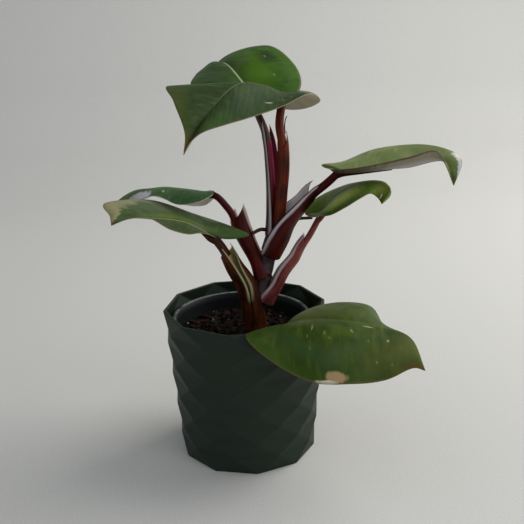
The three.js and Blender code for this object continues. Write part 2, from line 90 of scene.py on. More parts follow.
def keep_piece(name, bm, materials, node):
    """Makes a piece of a mesh in metres, which rides on the body and stands for one CAD node."""
    mesh = bpy.data.meshes.new(name)
    bm.to_mesh(mesh)
    bm.free()
    piece = bpy.data.objects.new(name, mesh)
    for one in materials:
        mesh.materials.append(one)
    bpy.context.scene.collection.objects.link(piece)
    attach(piece, "root")
    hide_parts(node)
    return piece


# Injection-moulded polypropylene with a fine spark-eroded grain: matt, a little worn and dusty, with a weak
# grey sheen. The grain is about 0.4 mm.
pot_plastic, tree = new_material("moulded_green_polypropylene")
place = add(tree, "TexCoord").outputs["Object"]
cloud = add(tree, "TexNoise", {"Vector": place, "Scale": 22.0, "Detail": 4.0})
grain = add(tree, "TexNoise", {"Vector": place, "Scale": 2600.0, "Detail": 2.0})
tone = add(tree, "Mix", {"Factor": cloud, "A": linear("121F15"), "B": linear("1B2B1D")}, data_type="RGBA")
gloss = add(tree, "MapRange", {"Value": cloud, "To Min": 0.5, "To Max": 0.62})
bump = add(tree, "Bump", {"Height": grain, "Strength": 0.12, "Distance": 0.1 * MM})
skin = add(tree, "BsdfPrincipled", {
    "Base Color": tone, "Roughness": gloss, "Specular IOR Level": 0.3, "Normal": bump})
add(tree, "OutputMaterial", {"Surface": skin})


def pot_ring(bm, level, inset, height=None):
    """One ring of ten corners, as its loop of edges. The lowest rings are closed by a face."""
    share = level / POT_BANDS
    radius = POT_FOOT_RADIUS + (POT_RIM_RADIUS - POT_FOOT_RADIUS) * share - inset
    half_step = 180 / POT_SIDES
    turn = POT_RIM_TURN + (POT_BANDS - level) * half_step - 90
    z = POT_HEIGHT * share if height is None else height
    spin = Matrix.Translation((0, 0, z * MM)) @ Matrix.Rotation(math.radians(turn), 4, "Z")
    corners = bmesh.ops.create_circle(
        bm, cap_ends=level == 0, segments=POT_SIDES, radius=radius * MM, matrix=spin)["verts"]
    return list({edge for corner in corners for edge in corner.link_edges})


bm = bmesh.new()
outside = [pot_ring(bm, level, 0) for level in range(POT_BANDS + 1)]
inside = [pot_ring(bm, level, POT_WALL) for level in range(1, POT_BANDS + 1)]
inside.insert(0, pot_ring(bm, 0, POT_WALL, POT_FLOOR))
walls = outside + inside[::-1]
for lower, upper in zip(walls, walls[1:]):
    bmesh.ops.bridge_loops(bm, edges=lower + upper)
fours = [face for face in bm.faces if len(face.verts) == 4]
bmesh.ops.triangulate(bm, faces=fours, quad_method="SHORT_EDGE")
bmesh.ops.recalc_face_normals(bm, faces=bm.faces[:])
outer_pot = keep_piece("outer_pot_shell", bm, [pot_plastic], "outer_pot")
soften = outer_pot.modifiers.new("moulded_edges", "BEVEL")
soften.width = POT_EDGE_ROUND * MM
soften.segments = 3
soften.limit_method = "ANGLE"
soften.angle_limit = math.radians(POT_EDGE_ANGLE)
soften.harden_normals = False
for face in outer_pot.data.polygons:
    face.use_smooth = False


# INNER POT
# The grower's own nursery pot, thin black polypropylene with a rolled lip, simply stood inside the outer one.
# Handling has scuffed its lip grey and left a dull, bluish bloom on the wall.

INNER_FLOOR_Z = 4.3
INNER_CENTRE_X = -2.7
INNER_RIM_Z = 108.4
INNER_FOOT_RADIUS = 40.0
INNER_RIM_RADIUS = 52.6
INNER_WALL = 1.2
INNER_ROLL = 2.0
INNER_STEPS = 96


def inner_pot_radius(z):
    """The outside of the inner pot's wall at a height."""
    spread = INNER_RIM_RADIUS - INNER_ROLL - INNER_FOOT_RADIUS
    return INNER_FOOT_RADIUS + spread * (z - INNER_FLOOR_Z) / (INNER_RIM_Z - INNER_FLOOR_Z)


# Thin black polypropylene, vacuum formed: smooth and slightly glossy, with chalky scuffs along its top edge
# and fine rub marks round the wall.
nursery_plastic, tree = new_material("black_nursery_polypropylene")
place = add(tree, "TexCoord").outputs["Object"]
height = add(tree, "SeparateXYZ", {"Vector": place}).outputs["Z"]
patchy = add(tree, "TexNoise", {"Vector": place, "Scale": 70.0, "Detail": 6.0, "Roughness": 0.7})
at_lip = add(tree, "MapRange", {
    "Value": height, "From Min": (INNER_RIM_Z - 1.3) * MM, "From Max": (INNER_RIM_Z - 0.2) * MM})
worn = add(tree, "Math", {0: at_lip, 1: patchy}, operation="MULTIPLY")
worn = add(tree, "MapRange", {"Value": worn, "From Min": 0.3, "From Max": 0.62, "To Max": 0.75})
wall_tone = add(tree, "Mix", {
    "Factor": patchy, "A": linear("05080B"), "B": linear("0B1014")}, data_type="RGBA")
tone = add(tree, "Mix", {"Factor": worn, "A": wall_tone, "B": linear("8C9696")}, data_type="RGBA")
gloss = add(tree, "MapRange", {"Value": patchy, "To Min": 0.4, "To Max": 0.6})
skin = add(tree, "BsdfPrincipled", {"Base Color": tone, "Roughness": gloss, "Specular IOR Level": 0.25})
add(tree, "OutputMaterial", {"Surface": skin})

LIP = inner_pot_radius(INNER_RIM_Z)
PROFILE = [
    (0, INNER_FLOOR_Z), (INNER_FOOT_RADIUS - 1, INNER_FLOOR_Z), (INNER_FOOT_RADIUS, INNER_FLOOR_Z + 1),
    (inner_pot_radius(INNER_RIM_Z - 5), INNER_RIM_Z - 5), (INNER_RIM_RADIUS - 0.6, INNER_RIM_Z - 4.8),
    (INNER_RIM_RADIUS, INNER_RIM_Z - 4.2), (INNER_RIM_RADIUS + 0.2, INNER_RIM_Z - 1),
    (INNER_RIM_RADIUS - 0.2, INNER_RIM_Z - 0.2), (INNER_RIM_RADIUS - 0.9, INNER_RIM_Z),
    (LIP - INNER_WALL + 0.9, INNER_RIM_Z - 0.1), (LIP - INNER_WALL, INNER_RIM_Z - 0.9),
    (inner_pot_radius(INNER_RIM_Z - 6) - INNER_WALL, INNER_RIM_Z - 6),
    (INNER_FOOT_RADIUS - INNER_WALL, INNER_FLOOR_Z + 2), (INNER_FOOT_RADIUS - 3, INNER_FLOOR_Z + 1.5),
    (0, INNER_FLOOR_Z + 1.5),
]
bm = bmesh.new()
corners = [bm.verts.new(((INNER_CENTRE_X + radius) * MM, 0, z * MM)) for radius, z in PROFILE]
edges = [bm.edges.new(pair) for pair in zip(corners, corners[1:])]
bmesh.ops.spin(bm, geom=corners + edges, cent=(INNER_CENTRE_X * MM, 0, 0), axis=(0, 0, 1), angle=2 * math.pi,
               steps=INNER_STEPS, use_merge=True)
bmesh.ops.remove_doubles(bm, verts=bm.verts[:], dist=0.01 * MM)
bmesh.ops.recalc_face_normals(bm, faces=bm.faces[:])
inner_pot = keep_piece("nursery_pot", bm, [nursery_plastic], "inner_pot")
for face in inner_pot.data.polygons:
    face.use_smooth = True


# POTTING MIX
# Coarse chips of pine bark over dark peat, with a few white grains of perlite, filled to a finger's width
# below the lip. It is damp, so the peat is almost black and the chips stand out red brown.

SOIL_TOP_Z = 95.5
SOIL_FOOT_Z = 6.1
STALK_FOOT = Vector((8, -4))
HEAP_HEIGHT = 2.2
HEAP_REACH = 13
SOIL_CELLS = 84
FLAKES = 330
CRUMBS = 520
GRAINS = 46

# Damp sphagnum peat: crumbly and nearly black, with no shine. Crumbs are about 1 mm.
peat, tree = new_material("damp_peat")
place = add(tree, "TexCoord").outputs["Object"]
crumbs = add(tree, "TexNoise", {"Vector": place, "Scale": 900.0, "Detail": 5.0})
tone = add(tree, "Mix", {"Factor": crumbs, "A": linear("030202"), "B": linear("100A06")}, data_type="RGBA")
bump = add(tree, "Bump", {"Height": crumbs, "Strength": 0.9, "Distance": 0.6 * MM})
skin = add(tree, "BsdfPrincipled", {
    "Base Color": tone, "Roughness": 0.9, "Specular IOR Level": 0.2, "Normal": bump})
add(tree, "OutputMaterial", {"Surface": skin})

# Composted pine bark: broken flakes, fibrous, red brown to grey brown, slightly satin where damp. The fibres
# run about 0.5 mm apart.
bark, tree = new_material("composted_pine_bark")
place = add(tree, "TexCoord").outputs["Object"]
shade = add(tree, "TexNoise", {"Vector": place, "Scale": 160.0, "Detail": 3.0})
fibres = add(tree, "TexNoise", {"Vector": place, "Scale": 1800.0, "Detail": 2.0})
tone = add(tree, "ValToRGB", {"Fac": shade})
tone.color_ramp.elements[0].position = 0.46
tone.color_ramp.elements[0].color = linear("080403")
tone.color_ramp.elements[1].position = 0.74
tone.color_ramp.elements[1].color = linear("3A1C0E")
bump = add(tree, "Bump", {"Height": fibres, "Strength": 0.5, "Distance": 0.3 * MM})
skin = add(tree, "BsdfPrincipled", {
    "Base Color": tone, "Roughness": 0.7, "Specular IOR Level": 0.1, "Normal": bump})
add(tree, "OutputMaterial", {"Surface": skin})

# Expanded perlite: light, chalk-white volcanic glass, stained by the peat.
perlite, tree = new_material("expanded_perlite")
place = add(tree, "TexCoord").outputs["Object"]
grime = add(tree, "TexNoise", {"Vector": place, "Scale": 700.0, "Detail": 3.0})
tone = add(tree, "Mix", {"Factor": grime, "A": linear("6E675C"), "B": linear("BEB9AE")}, data_type="RGBA")
skin = add(tree, "BsdfPrincipled", {"Base Color": tone, "Roughness": 0.85})
add(tree, "OutputMaterial", {"Surface": skin})


def soil_height(x, y):
    """The loose surface in mm, heaped a little round the plant's foot."""
    heap = HEAP_HEIGHT * math.exp(-((Vector((x, y)) - STALK_FOOT).length / HEAP_REACH) ** 2)
    lumps = 1.1 * noise.noise(Vector((x, y, 3)) / 9) + 0.9 * noise.noise(Vector((x, y, 9)) / 3.6)
    return SOIL_TOP_Z + heap + lumps


bm = bmesh.new()
bmesh.ops.create_grid(bm, x_segments=SOIL_CELLS, y_segments=SOIL_CELLS, size=1.0)
soil_radius = inner_pot_radius(SOIL_TOP_Z) - INNER_WALL - 0.25
for corner in bm.verts:
    x, y = corner.co.x, corner.co.y
    x, y = x * math.sqrt(1 - y * y / 2) * soil_radius, y * math.sqrt(1 - x * x / 2) * soil_radius
    x += INNER_CENTRE_X
    corner.co = Vector((x, y, soil_height(x, y))) * MM
rim = [edge for edge in bm.edges if edge.is_boundary]
side = bmesh.ops.extrude_edge_only(bm, edges=rim)["geom"]
foot_scale = (inner_pot_radius(SOIL_FOOT_Z) - INNER_WALL - 0.4) / soil_radius
middle = INNER_CENTRE_X * MM
for corner in [one for one in side if isinstance(one, bmesh.types.BMVert)]:
    x = middle + (corner.co.x - middle) * foot_scale
    corner.co = Vector((x, corner.co.y * foot_scale, SOIL_FOOT_Z * MM))
bmesh.ops.holes_fill(bm, edges=[edge for edge in bm.edges if edge.is_boundary], sides=0)
bmesh.ops.recalc_face_normals(bm, faces=bm.faces[:])

dice = random.Random(11)


def scatter(reach):
    """A random spot on the surface, in mm."""
    angle = dice.uniform(0, 2 * math.pi)
    distance = reach * math.sqrt(dice.random())
    x, y = INNER_CENTRE_X + distance * math.cos(angle), distance * math.sin(angle)
    return Vector((x, y, soil_height(x, y)))


def loose_pose(spot, size, lean):
    """Where a loose piece lies: turned at random, leaning at most so many degrees, scaled to its size."""
    turn = Matrix.Rotation(dice.uniform(0, 6.28), 4, "Z")
    tip = Matrix.Rotation(math.radians(dice.uniform(-lean, lean)), 4, "X")
    tip = tip @ Matrix.Rotation(math.radians(dice.uniform(-lean, lean)), 4, "Y")
    return Matrix.Translation(spot * MM) @ turn @ tip @ Matrix.Diagonal((*(Vector(size) * MM), 1))


def roughen(corners, amount):
    """Knocks the corners of a loose piece out of true by a share of its size."""
    centre = sum((corner.co for corner in corners), Vector()) / len(corners)
    for corner in corners:
        corner.co += (corner.co - centre) * dice.uniform(-amount, amount)
    return {face for corner in corners for face in corner.link_faces}


for _ in range(FLAKES):
    spot = scatter(soil_radius - 4)
    size = (dice.uniform(3, 10), dice.uniform(2, 4.5), dice.uniform(0.8, 2.2))
    pose = loose_pose(spot + Vector((0, 0, 0.4)), size, 28)
    flake = bmesh.ops.create_cube(bm, size=1, matrix=pose)["verts"]
    for face in roughen(flake, 0.3):
        face.material_index = 1
# First the crumbs, one in three of bark and the others of peat, then the grains of perlite.
for count, inset, largest, ragged, made_of in (
        (CRUMBS, 2, 1.5, 0.35, (1, 0, 0)), (GRAINS, 3, 1.3, 0.3, (2, 2, 2))):
    for number in range(count):
        spot = scatter(soil_radius - inset)
        pose = loose_pose(spot, [dice.uniform(0.5, largest)] * 3, 90)
        lump = bmesh.ops.create_icosphere(bm, subdivisions=1, radius=1, matrix=pose)["verts"]
        for face in roughen(lump, ragged):
            face.material_index = made_of[number % 3]
keep_piece("potting_mix_fill", bm, [peat, bark, perlite], "potting_mix")


# MAIN STEM
# The short, upright stem, about as thick as a pencil, ringed by the scars of shed leaves. Its bark is dull
# grey purple, and two thin aerial roots grow from its upper nodes.

STEM_PATH = [
    (8, 0, 82), (8, 0, 101), (10, 0, 115), (14, 0, 131), (16.5, 0, 141), (19.5, 0, 155), (22, 0, 176)]
STEM_ROWS, STEM_SIDES = 130, 40
STEM_RADII = [4.9, 5.4, 5.3, 5.3, 5.2, 4.9, 3.0]
STEM_NODES = [0.42, 0.6, 0.76]
SCAR_SWELLING = 0.6
SCAR_GROOVE = 0.35
END_SHARE = 0.02
WELD = 0.001
AERIAL_ROOTS = [
    ([(21, -1, 173.5), (14, -3.5, 175.5), (7.5, -6, 173.4)], [1.5, 1.3]),
    ([(22, 1.5, 174), (31, 6, 178), (42, 5, 180.5), (53, 4.5, 181)], [1.3, 1.1]),
]
ROOT_ROWS, ROOT_SIDES = 28, 14


def clamp(value):
    """The value, held between 0 and 1."""
    return min(max(value, 0), 1)


def read_curve(points, share):
    """A value or point on the smooth curve through evenly spaced ones."""
    place = clamp(share) * (len(points) - 1)
    i = min(int(place), len(points) - 2)
    f = place - i
    b, c = points[i], points[i + 1]
    a = points[i - 1] if i else b * 2 - c
    d = points[i + 2] if i + 2 < len(points) else c * 2 - b
    bend = (a * 2 - b * 5 + c * 4 - d) * (f * f)
    twist = (b * 3 - a - c * 3 + d) * f ** 3
    return (b * 2 + (c - a) * f + bend + twist) * 0.5


def measure(points, steps=200):
    """Reads a smooth curve by its length: gives a function from a share of it to a place and a direction."""
    points = [Vector(point) for point in points]
    samples = [read_curve(points, i / steps) for i in range(steps + 1)]
    lengths = [0.0]
    for start, end in zip(samples, samples[1:]):
        lengths.append(lengths[-1] + (end - start).length)

    def at(share):
        wanted = clamp(share) * lengths[-1]
        k = min(bisect.bisect_right(lengths, wanted), steps) - 1
        inner = (k + (wanted - lengths[k]) / (lengths[k + 1] - lengths[k])) / steps
        ahead = read_curve(points, min(inner + 1e-3, 1)) - read_curve(points, max(inner - 1e-3, 0))
        return read_curve(points, inner), ahead.normalized()

    return at


def lay_sheet(bm, rows, columns, place, slot=0):
    """A grid laid out by a rule of two shares, across and along, which are also kept as its UV map."""
    uv_layer = bm.loops.layers.uv.verify()
    corners = bmesh.ops.create_grid(bm, x_segments=columns, y_segments=rows, size=0.5)["verts"]
    shares = {corner: (corner.co.x + 0.5, corner.co.y + 0.5) for corner in corners}
    faces = {face for corner in corners for face in corner.link_faces}
    for face in faces:
        face.material_index = slot
        face.smooth = True
        for loop in face.loops:
            loop[uv_layer].uv = shares[loop.vert]
    for corner, (across, along) in shares.items():
        corner.co = place(across, along) * MM
    return corners, faces


def lay_rod(bm, path, radius_at, rows, sides, slot=0):
    """A closed rod along a path, its ends drawn in to a point."""
    at = measure(path)

    def place(around, along):
        body = clamp((along - END_SHARE) / (1 - 2 * END_SHARE))
        centre, ahead = at(body)
        across = (Vector((0, 1, 0)) - ahead * ahead.y).normalized()
        angle = 2 * math.pi * around
        radius = 0 if along in (0, 1) else radius_at(body)
        return centre + radius * (across * math.cos(angle) + ahead.cross(across) * math.sin(angle))

    corners, _ = lay_sheet(bm, rows, sides, place, slot)
    bmesh.ops.remove_doubles(bm, verts=corners, dist=WELD * MM)


# Living stem bark: a waxy epidermis, dull grey purple with greener and browner patches, darker in the rings
# of the leaf scars. Fine lengthwise wrinkles are about 0.6 mm apart.
stem_bark, tree = new_material("waxy_stem_epidermis")
place = add(tree, "TexCoord").outputs["Object"]
patches = add(tree, "TexNoise", {"Vector": place, "Scale": 130.0, "Detail": 4.0})
stretched = add(tree, "Mapping", {"Vector": place, "Scale": (1500.0, 1500.0, 200.0)})
wrinkles = add(tree, "TexNoise", {"Vector": stretched, "Scale": 1.0, "Detail": 2.0})
tone = add(tree, "ValToRGB", {"Fac": patches})
tone.color_ramp.elements[0].position = 0.35
tone.color_ramp.elements[0].color = linear("1C1416")
tone.color_ramp.elements[1].position = 0.66
tone.color_ramp.elements[1].color = linear("54444A")
bump = add(tree, "Bump", {"Height": wrinkles, "Strength": 0.4, "Distance": 0.2 * MM})
skin = add(tree, "BsdfPrincipled", {
    "Base Color": tone, "Roughness": 0.5, "Specular IOR Level": 0.3, "Normal": bump})
add(tree, "OutputMaterial", {"Surface": skin})

# Young aerial root: smooth, thin-skinned, dark red brown.
root_skin, tree = new_material("aerial_root_skin")
place = add(tree, "TexCoord").outputs["Object"]
patches = add(tree, "TexNoise", {"Vector": place, "Scale": 300.0, "Detail": 3.0})
tone = add(tree, "Mix", {"Factor": patches, "A": linear("24100B"), "B": linear("54241A")}, data_type="RGBA")
skin = add(tree, "BsdfPrincipled", {"Base Color": tone, "Roughness": 0.5, "Specular IOR Level": 0.3})
add(tree, "OutputMaterial", {"Surface": skin})


def stem_radius(share):
    """The stem's radius, with a low swelling at each leaf scar."""
    swelling = sum(SCAR_SWELLING * math.exp(-((share - one) / 0.016) ** 2) for one in STEM_NODES)
    groove = sum(SCAR_GROOVE * math.exp(-((share - one - 0.028) / 0.008) ** 2) for one in STEM_NODES)
    return read_curve(STEM_RADII, share) + swelling - groove


bm = bmesh.new()
lay_rod(bm, STEM_PATH, stem_radius, STEM_ROWS, STEM_SIDES)
for path, radii in AERIAL_ROOTS:
    lay_rod(bm, path, lambda share: read_curve(radii, share), ROOT_ROWS, ROOT_SIDES, 1)
bmesh.ops.recalc_face_normals(bm, faces=bm.faces[:])
keep_piece("stem_with_roots", bm, [stem_bark, root_skin], "main_stem")


# LEAVES
# Each leaf is a stalk whose lower part widens into an open sheath that clasps the stem, and a blade folded
# along its midrib. The points are in mm: a blade's midrib and its two margins run from its base to its tip.

LEAVES = {
    "lowest": {
        "midrib": [(29, -40, 113), (41, -48, 120), (66, -56, 122), (95, -64, 119), (113, -70, 112.5),
                   (122, -76, 91)],
        "left": [(37, -28, 112), (44, -18, 112), (54, -20, 118), (77, -16, 120), (94, -22, 118),
                 (102, -38, 105), (113, -58, 98)],
        "right": [(14, -53, 114.5), (0, -64, 117), (12, -80, 108), (41, -88, 92), (70, -90, 90),
                  (93, -86, 90), (112, -80, 95)],
        "arch": {"left": [0.05, 0.1, 0.1, 0.06, 0.05], "right": [0, 0, 0.13, 0.26, 0.22, 0.12, 0.1]},
        "path": [(9, -19, 82), (9.5, -19.5, 94), (15, -26, 103), (23, -34, 109), (29, -40, 112)],
        "core": [3, 2.7],
        "sheath": None,
    },
    "left_lower": {
        "midrib": [(-21, -10, 173), (-39, -26, 188), (-59, -46, 197), (-74, -62, 202), (-84, -72, 200)],
        "left": [(-19, -15, 173.5), (-22, -27, 179), (-28, -44, 185.5), (-36, -61, 189.5), (-47, -71, 196),
                 (-59, -73, 204), (-72, -72, 204)],
        "right": [(-9, -9, 170.5), (5, -7, 172.5), (-9, -3, 179), (-39, 21, 184), (-66, -2, 200),
                  (-90, -51, 210), (-86, -63, 204)],
        "arch": {"left": [0, 0], "right": [0.06, 0.06]},
        "path": [(8, -2, 96.4), (7.8, -2, 104), (5, -4, 121), (1.5, -6, 134), (-5.5, -8, 147),
                 (-13.5, -10, 162), (-20.5, -10, 172.5)],
        "core": [4, 3.3],
        "sheath": {"radii": [8.7, 8.5, 8, 6.8, 5.6], "spread": [179, 179, 174, 166, 130], "end": 0.8,
                   "tip": 0.1, "open": [(-0.4, -1, 0), (0.8, -0.7, 0.2)]},
    },
    "right_lower": {
        "midrib": [(58, 4, 182), (68, -4, 197), (81, -16, 208), (96, -26, 213), (103, -36, 209),
                   (96, -42, 201)],
        "left": [(48.5, 12, 181.5), (51, 22, 187), (67, 28, 195), (84, 26, 201), (99, 9, 205),
                 (107, -10, 206), (103, -29, 203)],
        "right": [(51, -9, 185), (48, -15, 188), (61, -26, 190), (72, -36, 198), (81, -44, 206),
                  (88, -44, 209), (95, -35, 203)],
        "arch": {"left": [0.1, 0.1], "right": [0.1, 0.1]},
        "path": [(15.5, -1, 119), (19, -1.5, 125), (23.5, -2, 132.5), (29, -2, 144), (38.5, 0, 155),
                 (48.5, 2, 166), (57.5, 4, 181)],
        "core": [3.4, 2.4],
        "sheath": {"radii": [7.4, 6.4, 6.8, 6.2, 4.4], "spread": [150, 125, 112, 112, 118], "end": 0.66,
                   "tip": 0.14, "open": [(-0.98, 0.05, 0), (-0.98, 0, 0)]},
    },
    "left_upper": {
        "midrib": [(-23, 6, 202), (-42, 18, 203), (-63, 30, 201), (-83, 40, 198), (-101, 46, 185)],
        "left": [(-20, -9, 205), (-21, -17, 205), (-30, -22, 202), (-45, -19, 200), (-60, -7, 204),
                 (-73, 15, 197), (-90, 34, 189)],
        "right": [(-20, 21, 199), (-21, 28, 193), (-30, 34, 186), (-48, 46, 185), (-69, 55, 190),
                  (-84, 54, 189), (-96, 47, 188)],
        "arch": {"left": [0.1, 0.1], "right": [0.1, 0.1]},
        "path": [(14.6, -0.6, 137), (10.5, 1, 150), (4.5, 1, 165), (0, 2, 176), (-8, 4, 188), (-16, 5, 198),
                 (-22, 6, 201.5)],
        "core": [3.6, 2.6],
        "sheath": {"radii": [6.9, 5.8, 6.8, 8.2, 8.2], "spread": [160, 135, 118, 112, 114], "end": 0.65,
                   "tip": 0.08, "open": [(0.75, 0.65, 0), (0.8, 0.5, 0.3)]},
    },
    "right_upper": {
        "midrib": [(73, 0, 217), (95, -6, 218.5), (119, -13, 220.5), (142, -24, 226), (148, -32, 210)],
        "left": [(65, 14, 216), (62, 20, 218), (79, 30, 218), (103, 28, 227), (132, 13, 232),
                 (149, -7, 231), (154, -28, 226)],
        "right": [(64, -13, 221), (65, -22, 222), (76, -31, 224), (93, -39, 228), (116, -41, 233),
                  (132, -37, 236), (140, -33, 228)],
        "arch": {"left": [0.05, 0.05], "right": [-0.08, -0.08]},
        "path": [(20.5, -2.5, 156), (25.5, -5.5, 169), (30.5, -7.5, 182.5), (39, -7, 193), (50, -4, 199.5),
                 (62, -1, 207.5), (72, 0, 216)],
        "core": [4, 3],
        "sheath": {"radii": [8, 9.2, 9.2, 8, 6], "spread": [162, 150, 122, 115, 125], "end": 0.66,
                   "tip": 0.12, "open": [(-1, 0.1, 0), (-0.85, -0.45, 0.2)]},
    },
    "crown_back": {
        "midrib": [(11, 54, 266), (3, 73, 277), (-9, 105, 288), (-19, 140, 284), (-28, 165, 272)],
        "left": [(2, 41, 261), (-17, 45, 263), (-35, 58, 274), (-34, 90, 280), (-28, 119, 284),
                 (-25, 143, 283), (-26, 156, 277)],
        "right": [(20, 43, 260), (40, 43, 263), (50, 62, 274), (46, 92, 288), (28, 120, 301), (0, 146, 295),
                  (-20, 160, 280)],
        "arch": {"left": [0.12, 0.12], "right": [0.08, 0.08]},
        "path": [(23.5, -1, 170), (25, -0.5, 187), (25, 0.5, 206), (23.5, 3, 226), (20.5, 6, 242),
                 (16, 18, 254), (12, 38, 261), (11, 53, 265)],
        "core": [3.4, 2.8],
        "sheath": {"radii": [6.8, 6.9, 6.2, 5.2, 4.4], "spread": [125, 112, 105, 105, 112], "end": 0.56,
                   "tip": 0.1, "open": [(0.65, -0.75, 0), (0.75, -0.65, 0)]},
    },
    "crown_front": {
        "midrib": [(34, 14, 272), (18, 6, 279), (0, -10, 281), (-19, -38, 266), (-36, -60, 242)],
        "left": [(51.5, -4, 273), (46, -14, 273), (29, -24, 266.5), (8, -39, 262), (-9, -50, 259),
                 (-23, -60, 256), (-31, -60, 250)],
        "right": [(53, 26, 271.5), (61.5, 34, 263), (40, 36, 257.5), (-9, 18, 270), (-46, -16, 282),
                  (-42, -40, 274), (-35, -54, 256)],
        "arch": {"left": [0.03, 0.01], "right": [0.03, 0.03]},
        "path": [(25, -1.5, 172), (27.5, -2, 186), (29.5, -2, 203), (31.5, -1.5, 221), (31.2, 0, 237),
                 (29.5, 4, 252), (33, 13, 270)],
        "core": [3.7, 3],
        "sheath": {"radii": [5.4, 5.1, 4.7, 4.4, 4.1], "spread": [105, 108, 112, 116, 120], "end": 0.62,
                   "tip": 0.12, "open": [(0.5, 0.8, 0), (0.6, 0.8, 0)]},
    },
}


# STALKS
# A firm, round leaf stalk. Its lower part is drawn out on both sides into a thin wing, and the wings curl
# round to form an open sheath that ends in two free tips. Outside it is red brown, inside it is pale.

SHEATH_WALL = 0.9
SHEATH_EDGE = 0.35
STALK_FLATTENING = 0.18
STALK_ROWS, STALK_SIDES = 90, 28
RIB_ROWS, RIB_SIDES = 30, 16
SHEATH_ROWS, SHEATH_COLUMNS = 80, 48

# Dark and light skin; the strip beside each wing's edge, where it starts across (0 back, 1 edge) and along
# the sheath; the edge itself and the lining; then how far the stalk runs on under the blade, as a share of
# the midrib.
STALK_LOOKS = {
    "lowest": ("27301A", "3A2A16", "3A2A16", 1.0, 0.0, "3A2A16", "5A6840", 0.2),
    "left_lower": ("1C0902", "5C2C11", "B4A67C", 0.958, 0.45, "BCB088", "CFC18C", 0.14),
    "right_lower": ("502222", "984C46", "C0ACB4", 0.84, 0.0, "DCC4BC", "DCD2D8", 0.14),
    "left_upper": ("200303", "5C0F0C", "BBA49C", 0.84, 0.0, "D8C0B6", "A58A86", 0.1),
    "right_upper": ("1E0301", "500E06", "C4B8C0", 0.85, 0.0, "30100C", "E6DEE2", 0.38),
    "crown_back": ("281C17", "604C3C", "B8ACB4", 0.8, 0.0, "281014", "8E2E46", 0.12),
    "crown_front": ("2C0C06", "702A14", "9A6A62", 0.86, 0.0, "D8B8B0", "8E7476", 0.08),
}


def smooth_step(value, low, high):
    """Rises smoothly from 0 to 1 between two values."""
    share = clamp((value - low) / (high - low))
    return share * share * (3 - 2 * share)


def stalk_frame(leaf, at, share):
    """The core's centre, the side that the sheath opens to, the side across, and both radii."""
    centre, ahead = at(share)
    core = read_curve(leaf["core"], share)
    sheath = leaf["sheath"]
    if not sheath:
        inward = (Vector((0, 1, 0)) - ahead * ahead.y).normalized()
        return centre, inward, ahead.cross(inward), core, core
    start, end = (Vector(one) for one in sheath["open"])
    inward = start.lerp(end, share)
    inward = (inward - ahead * ahead.dot(inward)).normalized()
    wide = read_curve(sheath["radii"], share / (sheath["end"] + sheath["tip"]))
    lean = 1 - smooth_step(share, sheath["end"] - 0.15, sheath["end"] + 0.1)
    return centre - inward * (lean * (wide - core)), inward, ahead.cross(inward), core, wide


def lay_stalk(leaf, reach):
    """The stalk: its skin is material 0, the outside of the sheath 1 and the lining 2."""
    bm = bmesh.new()
    at = measure(leaf["path"])
    sheath = leaf["sheath"]

    def core_place(around, along):
        body = clamp((along - END_SHARE) / (1 - 2 * END_SHARE))
        centre, inward, sideways, core, _ = stalk_frame(leaf, at, body)
        angle = 2 * math.pi * around
        radius = 0 if along in (0, 1) else core
        # The upper side of a stalk is a little flattened.
        flat = 1 - STALK_FLATTENING * max(math.cos(angle), 0) ** 2
        return centre + radius * flat * (inward * math.cos(angle) + sideways * math.sin(angle))

    uv_layer = bm.loops.layers.uv.verify()
    corners, faces = lay_sheet(bm, STALK_ROWS, STALK_SIDES, core_place)
    for face in faces:
        spot = sum((loop[uv_layer].uv for loop in face.loops), Vector((0, 0))) / len(face.loops)
        if sheath and spot.y < sheath["end"] - 0.02 and math.cos(2 * math.pi * spot.x) > 0.1:
            face.material_index = 2
    bmesh.ops.remove_doubles(bm, verts=corners, dist=WELD * MM)
    if sheath:
        def sheath_place(around, along):
            outside = around <= 0.5
            across = around * 4 - 1 if outside else 3 - around * 4
            share = along * (sheath["end"] + sheath["tip"] * across ** 2)
            centre, inward, sideways, core, wide = stalk_frame(leaf, at, share)
            edge = math.radians(read_curve(sheath["spread"], share / (sheath["end"] + sheath["tip"])))
            angle = edge * across
            wall = SHEATH_EDGE + (SHEATH_WALL - SHEATH_EDGE) * (1 - across ** 4)
            radius = wide if outside or along in (0, 1) else wide - wall
            middle = centre + inward * (wide - core)
            return middle + radius * (sideways * math.sin(angle) - inward * math.cos(angle))

        corners, faces = lay_sheet(bm, SHEATH_ROWS, SHEATH_COLUMNS, sheath_place)
        for face in faces:
            around = sum(loop[uv_layer].uv.x for loop in face.loops) / len(face.loops)
            face.material_index = 1 if around < 0.5 else 2
        bmesh.ops.remove_doubles(bm, verts=corners, dist=WELD * MM)
    # The stalk runs on under the blade as the root of its midrib.
    along_rib = measure(leaf["midrib"])
    end_core = leaf["core"][-1]
    path = [at(0.95)[0]]
    for share in (0, 0.33, 0.66, 1):
        spot, ahead = along_rib(0.02 + reach * share)
        down = (ahead * ahead.z - Vector((0, 0, 1))).normalized()
        path.append(spot + down * end_core * (0.75 - 0.5 * share))
    lay_rod(bm, path, lambda share: end_core * (0.92 - 0.66 * share), RIB_ROWS, RIB_SIDES)
    return bm


